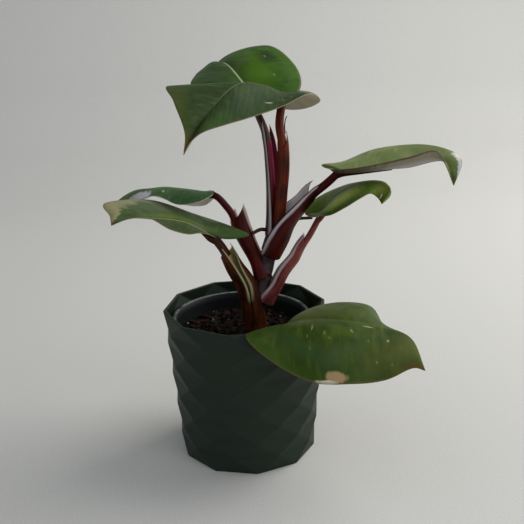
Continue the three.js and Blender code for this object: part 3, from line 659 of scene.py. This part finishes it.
def stalk_materials(name, dark, light, strip, strip_start, strip_foot, edge, lining):
    """A stalk's skin, the outside of its sheath and the lining."""
    made = []
    for kind in ("skin", "sheath"):
        # Stalk epidermis: smooth and satin, streaked lengthwise in dark and light red brown. On the sheath
        # the wings thin out to a paler strip and a thin dry edge. The streaks are 1 to 2 mm wide.
        skin, tree = new_material("stalk_epidermis_" + kind + "_" + name)
        uv = add(tree, "UVMap")
        place = add(tree, "TexCoord").outputs["Object"]
        cloud = add(tree, "TexNoise", {"Vector": place, "Scale": 60.0, "Detail": 3.0})
        streaked = add(tree, "Mapping", {"Vector": uv, "Scale": (26.0, 2.5, 1.0)})
        streaks = add(tree, "TexNoise", {"Vector": streaked, "Scale": 1.0, "Detail": 4.0})
        both = add(tree, "Math", {0: cloud, 1: streaks}, operation="ADD")
        both = add(tree, "MapRange", {"Value": both, "From Min": 0.75, "From Max": 1.25})
        tone = add(tree, "Mix", {"Factor": both, "A": linear(dark), "B": linear(light)}, data_type="RGBA")
        if kind == "sheath":
            split = add(tree, "SeparateXYZ", {"Vector": uv})
            risen = add(tree, "MapRange", {
                "Value": split.outputs["Y"], "From Min": strip_foot - 0.1, "From Max": strip_foot + 0.02})
            across = add(tree, "Math", {0: split.outputs["X"], 1: 4.0, 2: -1.0}, operation="MULTIPLY_ADD")
            across = add(tree, "Math", {0: across}, operation="ABSOLUTE")
            uneven = add(tree, "Math", {0: streaks, 1: 0.24, 2: -0.12}, operation="MULTIPLY_ADD")
            uneven = add(tree, "Math", {0: across, 1: uneven}, operation="ADD")
            in_strip = add(tree, "MapRange", {
                "Value": uneven, "From Min": strip_start - 0.04, "From Max": strip_start + 0.04,
                "To Max": 0.9})
            in_strip = add(tree, "Math", {0: in_strip, 1: risen}, operation="MULTIPLY")
            tone = add(tree, "Mix", {"Factor": in_strip, "A": tone, "B": linear(strip)}, data_type="RGBA")
            at_edge = add(tree, "MapRange", {"Value": across, "From Min": 0.93, "From Max": 0.97})
            at_edge = add(tree, "Math", {0: at_edge, 1: risen}, operation="MULTIPLY")
            tone = add(tree, "Mix", {"Factor": at_edge, "A": tone, "B": linear(edge)}, data_type="RGBA")
        bump = add(tree, "Bump", {"Height": streaks, "Strength": 0.25, "Distance": 0.2 * MM})
        shader = add(tree, "BsdfPrincipled", {
            "Base Color": tone, "Roughness": 0.42, "Specular IOR Level": 0.16, "Normal": bump})
        add(tree, "OutputMaterial", {"Surface": shader})
        made.append(skin)
    # Sheath lining: paler, thin tissue with a damp satin look and fine lengthwise lines under 1 mm apart.
    inner, tree = new_material("sheath_lining_" + name)
    uv = add(tree, "UVMap")
    streaked = add(tree, "Mapping", {"Vector": uv, "Scale": (60.0, 3.0, 1.0)})
    streaks = add(tree, "TexNoise", {"Vector": streaked, "Scale": 1.0, "Detail": 3.0})
    streaks = add(tree, "MapRange", {"Value": streaks, "From Min": 0.3, "From Max": 0.7})
    tone = add(tree, "Mix", {
        "Factor": streaks, "A": [c * 0.62 for c in linear(lining)[:3]] + [1], "B": linear(lining)},
        data_type="RGBA")
    shader = add(tree, "BsdfPrincipled", {"Base Color": tone, "Roughness": 0.45, "Specular IOR Level": 0.2})
    add(tree, "OutputMaterial", {"Surface": shader})
    return made + [inner]


# A withered wing tip, as thin as a thread, still hangs beside the front crown leaf's stalk.
WITHERED_TIP = [(33.5, 7, 243.5), (33.2, 7, 249), (34, 8, 254), (35.3, 8, 256.5)]

for name, leaf in LEAVES.items():
    looks = STALK_LOOKS[name]
    bm = lay_stalk(leaf, looks[-1])
    if name == "crown_front":
        lay_rod(bm, WITHERED_TIP, lambda share: 0.6 - 0.3 * share, 16, 8)
    bmesh.ops.recalc_face_normals(bm, faces=bm.faces[:])
    keep_piece("stalk_" + name, bm, stalk_materials(name, *looks[:-1]), "petiole_" + name)


# BLADES
# A thin, leathery leaf blade, folded along a midrib that stands out as a keel underneath. The fine side veins
# sweep from the midrib to the margin, and the cream and yellow green marks run along them.

VEIN_ROOTS = [0, 0, 0.01, 0.05, 0.2, 0.42, 0.66, 0.84, 1]
BLADE_ROWS = 80
BLADE_COLUMNS = 44
BLADE_HALF = 0.38
BLADE_EDGE_HALF = 0.22
KEEL_DEPTH = 1.5
KEEL_WIDTH = 0.05
GROOVE_DEPTH = 0.35
STEADY_FROM = 3 / 8
STEADY_TO = 7.2 / 8
CRISP_FADE = 0.2
SOFT_FADE = 0.65
OPAQUE_FROM = 0.9


def blade_rule(leaf):
    """The rule that gives a blade's middle surface from the shares across (left to right) and along."""
    at = measure(leaf["midrib"])
    base, tip = Vector(leaf["midrib"][0]), Vector(leaf["midrib"][-1])
    margins = {side: [base] + [Vector(point) for point in leaf[side]] + [tip] for side in ("left", "right")}

    def row(side, along):
        root, ahead = at(clamp(read_curve(VEIN_ROOTS, along)))
        span = read_curve(margins[side], along) - root
        up = span.cross(ahead) * (1 if side == "right" else -1)
        return root, span, up.normalized()

    steady = {side: (row(side, STEADY_FROM)[2], row(side, STEADY_TO)[2]) for side in margins}

    def place(across, along):
        side = "right" if across >= 0.5 else "left"
        t = abs(across * 2 - 1)
        root, span, up = row(side, along)
        if along < STEADY_FROM:
            up = steady[side][0]
        elif along > STEADY_TO:
            up = steady[side][1]
        arch = read_curve(leaf["arch"][side], along)
        return root + span * t + up * (span.length * arch * 4 * t * (1 - t))

    return place


def lay_blade(leaf):
    """A closed blade: material 0 above, 1 below and round the edge."""
    bm = bmesh.new()
    mark = bm.verts.layers.float_vector.new("shares")
    number = bm.verts.layers.int.new("number")
    uv_layer = bm.loops.layers.uv.verify()
    corners, _ = lay_sheet(bm, BLADE_ROWS, BLADE_COLUMNS, blade_rule(leaf))
    for corner in corners:
        corner[mark] = (*corner.link_loops[0][uv_layer].uv, 0)
    bmesh.ops.remove_doubles(bm, verts=corners, dist=0.002 * MM)
    bm.normal_update()
    normals = []
    for i, corner in enumerate(bm.verts):
        corner[number] = i
        normals.append(corner.normal.copy())
    upper = bm.faces[:]
    grown = bmesh.ops.extrude_face_region(bm, geom=upper, use_keep_orig=True)["geom"]
    below = {one for one in grown if isinstance(one, bmesh.types.BMVert)}
    for corner in bm.verts:
        across, along, _ = corner[mark]
        t = abs(across * 2 - 1)
        half = BLADE_HALF + (BLADE_EDGE_HALF - BLADE_HALF) * t ** 3
        rib = math.exp(-(t / KEEL_WIDTH) ** 2) * (1 - along)
        if corner in below:
            corner.co -= normals[corner[number]] * (half + KEEL_DEPTH * rib) * MM
        else:
            corner.co += normals[corner[number]] * (half - GROOVE_DEPTH * rib) * MM
    for face in bm.faces:
        face.smooth = True
        face.material_index = 1 if any(corner in below for corner in face.verts) else 0
    bmesh.ops.recalc_face_normals(bm, faces=bm.faces[:])
    return bm


# How each blade is coloured: two greens, its lighter streaks, the tip, the midrib's line and how strong it
# is, the underside, the patches above and those below. A patch is its place, half width and half length on
# the blade (across, along), its turn in degrees, colour and strength. Three patches are painted light: two of
# sheen and one of shade, each marked where it stands.
BLADE_LOOKS = {
    "lowest": ("324514", "445824", "5A6E24", "6A3418", "6E7A3C", 0.35, "7C7250", [
        (0.36, 0.38, 0.14, 0.16, 0, "6A7244", 0.8), (0.84, 0.52, 0.05, 0.2, -40, "33502A", 0.6),
        (0.72, 0.62, 0.05, 0.03, -20, "22400A", 0.8), (0.80, 0.60, 0.12, 0.035, -25, "4A5E34", 0.6),
        (0.66, 0.84, 0.3, 0.07, -30, "5A6030", 0.75), (0.62, 0.6, 0.05, 0.025, 20, "567020", 0.4),
        (0.90, 0.9, 0.12, 0.05, -60, "5E4624", 0.8), (0.96, 0.40, 0.05, 0.2, 0, "355014", 0.7),
        (0.96, 0.58, 0.036, 0.03, 0, "B69870", 0.95), (0.99, 0.55, 0.012, 0.03, 0, "E2DAC6", 0.95),
        (0.535, 0.68, 0.006, 0.014, 0, "B8BA80", 0.8), (0.62, 0.51, 0.024, 0.0025, 0, "9CA65A", 0.75),
        (0.66, 0.55, 0.018, 0.0022, 0, "8E9C54", 0.65), (0.61, 0.63, 0.014, 0.0025, 10, "B4BA80", 0.75),
        (0.64, 0.745, 0.012, 0.0045, 0, "B8BA90", 0.75), (0.71, 0.50, 0.014, 0.002, 0, "8C9A54", 0.5),
        (0.85, 0.71, 0.01, 0.003, 0, "929C60", 0.55), (0.87, 0.77, 0.01, 0.003, 0, "98A064", 0.55),
        (0.80, 0.51, 0.01, 0.002, 0, "8C9A54", 0.45), (0.70, 0.565, 0.012, 0.002, 0, "8C9A54", 0.5),
        (0.68, 0.68, 0.01, 0.0022, 0, "8C9A54", 0.45)], []),
    "left_lower": ("3E522A", "546A3E", "6E8458", "55201A", "B6B486", 0.8, "8A7E62", [
        # The second patch on the next line, grey green, is painted grey sheen on the far half.
        (0.08, 0.57, 0.24, 0.3, 0, "34441A", 0.8), (0.71, 0.61, 0.14, 0.09, 10, "687858", 0.7),
        (0.56, 0.62, 0.035, 0.13, 0, "6A8234", 0.8), (0.98, 0.45, 0.12, 0.14, 0, "566A44", 0.6),
        (0.99, 0.18, 0.3, 0.14, 0, "46682E", 0.7), (1.0, 0.86, 0.22, 0.21, 0, "B8B48C", 0.95),
        (1.0, 0.88, 0.15, 0.19, 0, "868258", 0.9)], []),
    "right_lower": ("415F1F", "5F782D", "7E923C", "6A5A24", "A8AE72", 0.75, "766E50", [
        (0.77, 0.53, 0.13, 0.12, -34, "B2C064", 0.88), (0.66, 0.48, 0.04, 0.08, -30, "64803A", 0.6),
        (0.36, 0.57, 0.02, 0.06, 37, "A2AC6C", 0.6), (0.50, 0.80, 0.02, 0.06, 0, "A2AC6C", 0.6),
        (0.97, 0.5, 0.06, 0.14, 0, "2E4A18", 0.7), (0.7, 0.84, 0.2, 0.07, 0, "6E7430", 0.85),
        (0.88, 0.885, 0.08, 0.014, 10, "E2DECA", 0.95)], []),
    "left_upper": ("385A32", "507644", "668850", "66683C", "6E7A4C", 0.5, "D6CCBC", [
        (0.13, 0.47, 0.16, 0.1, 0, "284E28", 0.6), (0.09, 0.765, 0.13, 0.07, 0, "DAD6E2", 0.97),
        (0.0, 0.76, 0.018, 0.08, 0, "6E7A5C", 0.8), (0.12, 0.60, 0.02, 0.006, 0, "D2D0CA", 0.7),
        (0.35, 0.86, 0.5, 0.08, 0, "5E7038", 0.6)], []),
    "right_upper": ("6C7E44", "828F5A", "98A66E", "4E5A30", "A2A67C", 0.5, "867F68", [
        (0.30, 0.80, 0.3, 0.05, 12, "606E3C", 0.7), (0.10, 0.66, 0.12, 0.06, 0, "66744A", 0.6),
        (0.0, 0.88, 0.15, 0.09, 0, "ECE8E6", 0.97), (0.02, 0.87, 0.014, 0.01, 0, "54504E", 0.8),
        (0.0, 0.4, 0.02, 0.34, 0, "3E4A2C", 0.8), (0.45, 0.96, 0.2, 0.03, 0, "4A5430", 0.7)],
        [(0.75, 0.14, 0.6, 0.25, 0, "40180F", 0.9), (0.99, 0.62, 0.02, 0.2, 0, "4E2C24", 0.8),
         (0.7, 0.66, 0.1, 0.2, 20, "B4A8B0", 0.6)]),
    "crown_back": ("22400D", "385C12", "48741A", "3A4818", "C4CCA0", 0.85, "7C7C56", [
        # The first patch on the next line, dark green, is painted shade over the left half of the blade.
        (0.23, 0.47, 0.2, 0.26, 0, "203C0D", 0.7), (0.66, 0.47, 0.13, 0.14, 0, "557A1A", 0.6),
        (0.95, 0.43, 0.06, 0.14, 0, "487016", 0.5), (0.65, 0.60, 0.1, 0.018, 10, "56644A", 0.4),
        (0.83, 0.555, 0.06, 0.035, 0, "26341A", 0.7), (0.81, 0.56, 0.007, 0.005, 0, "9C9C7C", 0.7),
        (0.77, 0.44, 0.008, 0.006, 0, "8CA05A", 0.7)], []),
    "crown_front": ("2A3E1A", "384C22", "4A5E32", "7E4A26", "84906E", 0.4, "A69C84", [
        # The second patch on the next line, bluish grey, is painted blue-grey sheen on the near half.
        (0.93, 0.74, 0.1, 0.14, 0, "4E5426", 0.5), (0.22, 0.52, 0.2, 0.12, 8, "33482E", 0.6),
        (0.08, 0.68, 0.09, 0.08, 0, "36541E", 0.6), (0.15, 0.43, 0.02, 0.005, 50, "D8D8BC", 0.9),
        (0.14, 0.31, 0.01, 0.008, 0, "A0A07C", 0.6), (0.15, 0.36, 0.008, 0.006, 0, "A0A07C", 0.6),
        (0.7, 0.965, 0.7, 0.06, 0, "876F42", 0.75)], []),
}


def paint_patch(tree, uv, ragged, tone, patch):
    """Mixes a ragged patch into a blade's tone: mostly marks of the leaf itself, and on a few blades painted
    sheen or painted shade. Its edge is crisp if it is nearly opaque, and soft if not.
    """
    u, v, half_u, half_v, turn, colour, strength = patch
    local = add(tree, "Mapping", {
        "Vector": uv, "Location": (u, v, 0), "Rotation": (0, 0, math.radians(turn)),
        "Scale": (half_u, half_v, 1)}, vector_type="TEXTURE")
    reach = add(tree, "VectorMath", {0: local}, operation="LENGTH")
    reach = add(tree, "Math", {0: reach, 1: ragged}, operation="ADD")
    fade = CRISP_FADE if strength > OPAQUE_FROM else SOFT_FADE
    share = add(tree, "MapRange", {
        "Value": reach, "From Min": 1 - fade, "From Max": 1 + fade, "To Min": strength, "To Max": 0.0})
    mixed = add(tree, "Mix", {"Factor": share, "A": tone, "B": linear(colour)}, data_type="RGBA")
    return mixed


def blade_materials(name, deep, mid, bright, tip, rib, rib_strength, below, patches, low_patches):
    """A blade's upper face and its underside."""
    # Upper leaf epidermis: a waxy cuticle over green tissue, with a weak, broken sheen; on a few blades
    # patches also paint sheen and shade into the colour. Side veins 3 to 4 mm apart are faint, and streaks of
    # lighter green follow them.
    upper, tree = new_material("leaf_cuticle_" + name)
    uv = add(tree, "UVMap")
    split = add(tree, "SeparateXYZ", {"Vector": uv})
    across = add(tree, "Math", {0: split.outputs["X"], 1: 0.5}, operation="SUBTRACT")
    across = add(tree, "Math", {0: across}, operation="ABSOLUTE")
    place = add(tree, "TexCoord").outputs["Object"]
    cloud = add(tree, "TexNoise", {"Vector": place, "Scale": 45.0, "Detail": 3.0})
    fine = add(tree, "Mapping", {"Vector": uv, "Scale": (5.0, 44.0, 1.0)})
    streaks = add(tree, "TexNoise", {"Vector": fine, "Scale": 1.0, "Detail": 4.0})
    ragged = add(tree, "Math", {0: streaks, 1: 1.4, 2: -0.7}, operation="MULTIPLY_ADD")
    tone = add(tree, "MapRange", {"Value": cloud, "From Min": 0.38, "From Max": 0.62})
    colour = add(tree, "Mix", {"Factor": tone, "A": linear(deep), "B": linear(mid)}, data_type="RGBA")
    light = add(tree, "MapRange", {"Value": streaks, "From Min": 0.52, "From Max": 0.75, "To Max": 0.7})
    colour = add(tree, "Mix", {"Factor": light, "A": colour, "B": linear(bright)}, data_type="RGBA")
    for patch in patches:
        colour = paint_patch(tree, uv, ragged, colour, patch)
    at_tip = add(tree, "MapRange", {"Value": split.outputs["Y"], "From Min": 0.93, "From Max": 0.995})
    colour = add(tree, "Mix", {"Factor": at_tip, "A": colour, "B": linear(tip)}, data_type="RGBA")
    at_rib = add(tree, "MapRange", {
        "Value": across, "From Min": 0.004, "From Max": 0.012, "To Min": rib_strength, "To Max": 0.0})
    colour = add(tree, "Mix", {"Factor": at_rib, "A": colour, "B": linear(rib)}, data_type="RGBA")
    at_edge = add(tree, "MapRange", {"Value": across, "From Min": 0.482, "From Max": 0.494, "To Max": 0.4})
    colour = add(tree, "Mix", {"Factor": at_edge, "A": colour, "B": linear("7C7048")}, data_type="RGBA")
    veins = add(tree, "Math", {0: split.outputs["Y"], 1: 210.0}, operation="MULTIPLY")
    veins = add(tree, "Math", {0: veins}, operation="SINE")
    veins = add(tree, "Math", {0: veins, 1: streaks}, operation="MULTIPLY")
    swells = add(tree, "TexNoise", {"Vector": place, "Scale": 80.0, "Detail": 1.0})
    bump = add(tree, "Bump", {"Height": swells, "Strength": 0.5, "Distance": 2.5 * MM})
    bump = add(tree, "Bump", {"Height": veins, "Strength": 0.25, "Distance": 0.2 * MM, "Normal": bump})
    gloss = add(tree, "MapRange", {"Value": cloud, "To Min": 0.4, "To Max": 0.55})
    shader = add(tree, "BsdfPrincipled", {
        "Base Color": colour, "Roughness": gloss, "Specular IOR Level": 0.1, "Normal": bump})
    add(tree, "OutputMaterial", {"Surface": shader})
    # Leaf underside: thinner, matt tissue, paler and browner, streaked along the veins.
    under, tree = new_material("leaf_underside_" + name)
    uv = add(tree, "UVMap")
    fine = add(tree, "Mapping", {"Vector": uv, "Scale": (3.0, 40.0, 1.0)})
    streaks = add(tree, "TexNoise", {"Vector": fine, "Scale": 1.0, "Detail": 4.0})
    ragged = add(tree, "Math", {0: streaks, 1: 1.0, 2: -0.5}, operation="MULTIPLY_ADD")
    pale = linear(below)
    colour = add(tree, "Mix", {
        "Factor": streaks, "A": [c * 0.7 for c in pale[:3]] + [1], "B": [c * 1.25 for c in pale[:3]] + [1]},
        data_type="RGBA")
    for patch in low_patches:
        colour = paint_patch(tree, uv, ragged, colour, patch)
    shader = add(tree, "BsdfPrincipled", {
        "Base Color": colour, "Roughness": 0.6, "Specular IOR Level": 0.2})
    add(tree, "OutputMaterial", {"Surface": shader})
    return [upper, under]


for name, leaf in LEAVES.items():
    keep_piece("leaf_" + name, lay_blade(leaf), blade_materials(name, *BLADE_LOOKS[name]),
               "blade_" + name)


# STAGE
# A plain pale cloth that runs from the table up behind the plant, under soft window light from the right and
# a little behind, with a weak fill from the front right. None of it belongs to the object.

# Matt pale woven cloth, faintly mottled by threads about 1 mm apart.
cloth, tree = new_material("pale_woven_cloth")
place = add(tree, "TexCoord").outputs["Object"]
weave = add(tree, "TexNoise", {"Vector": place, "Scale": 900.0, "Detail": 1.0})
tone = add(tree, "Mix", {"Factor": weave, "A": linear("C6C6C4"), "B": linear("E6E6E4")}, data_type="RGBA")
skin = add(tree, "BsdfPrincipled", {"Base Color": tone, "Roughness": 0.9, "Specular IOR Level": 0.2})
add(tree, "OutputMaterial", {"Surface": skin})

CLOTH_WIDTH = 5.2
SWEEP = [(-1.6, 0), (0.9, 0), (1.15, 0.04), (1.33, 0.16), (1.45, 0.4), (1.5, 0.8), (1.5, 2.4)]
bm = bmesh.new()
corners = [bm.verts.new((-CLOTH_WIDTH / 2, y, z)) for y, z in SWEEP]
edges = [bm.edges.new(pair) for pair in zip(corners, corners[1:])]
side = bmesh.ops.extrude_edge_only(bm, edges=edges)["geom"]
far_side = [one for one in side if isinstance(one, bmesh.types.BMVert)]
bmesh.ops.translate(bm, vec=(CLOTH_WIDTH, 0, 0), verts=far_side)
bmesh.ops.recalc_face_normals(bm, faces=bm.faces[:])
mesh = bpy.data.meshes.new("backdrop")
bm.to_mesh(mesh)
bm.free()
backdrop = bpy.data.objects.new("backdrop", mesh)
mesh.materials.append(cloth)
for face in mesh.polygons:
    face.use_smooth = True
bpy.context.scene.collection.objects.link(backdrop)

world = bpy.data.worlds.new("room")
bpy.context.scene.world = world
world.use_nodes = True
daylight = world.node_tree.nodes["Background"]
daylight.inputs["Color"].default_value = linear("E6EAEC")
daylight.inputs["Strength"].default_value = 0.48


def add_light(name, place, aim, size, power, colour):
    """A soft square light that points at a spot."""
    lamp = bpy.data.lights.new(name, "AREA")
    lamp.shape = "SQUARE"
    lamp.size = size
    lamp.energy = power
    lamp.color = linear(colour)[:3]
    made = bpy.data.objects.new(name, lamp)
    made.location = place
    made.rotation_euler = (Vector(aim) - Vector(place)).to_track_quat("-Z", "Y").to_euler()
    bpy.context.scene.collection.objects.link(made)


add_light("window", (1.1, 0.4, 1.05), (0, 0, 0.15), 1.3, 18, "FFFBF4")
add_light("room_fill", (1.0, -1.0, 0.7), (0, 0, 0.1), 0.9, 3, "F6F8FF")

IMAGE_WIDTH = 524
FOCAL_PIXELS = 800
SENSOR_WIDTH = 36
CAMERA_PLACE = Vector((0, -0.573, 0.3295))
CAMERA_PITCH, CAMERA_YAW, CAMERA_ROLL = (math.radians(one) for one in (17.46, 1.41, -1.55))
level = math.cos(CAMERA_PITCH)
forward = Vector((math.sin(CAMERA_YAW) * level, math.cos(CAMERA_YAW) * level, -math.sin(CAMERA_PITCH)))
level_right = forward.cross(Vector((0, 0, 1))).normalized()
level_up = level_right.cross(forward)
right = level_right * math.cos(CAMERA_ROLL) + level_up * math.sin(CAMERA_ROLL)
up = level_up * math.cos(CAMERA_ROLL) - level_right * math.sin(CAMERA_ROLL)
lens = bpy.data.cameras.new("photo_view")
lens.sensor_width = SENSOR_WIDTH
lens.lens = SENSOR_WIDTH * FOCAL_PIXELS / IMAGE_WIDTH
camera = bpy.data.objects.new("photo_view", lens)
camera.matrix_world = Matrix.Translation(CAMERA_PLACE) @ Matrix((right, up, -forward)).transposed().to_4x4()
bpy.context.scene.collection.objects.link(camera)
bpy.context.scene.camera = camera
bpy.context.scene.view_settings.view_transform = "Standard"
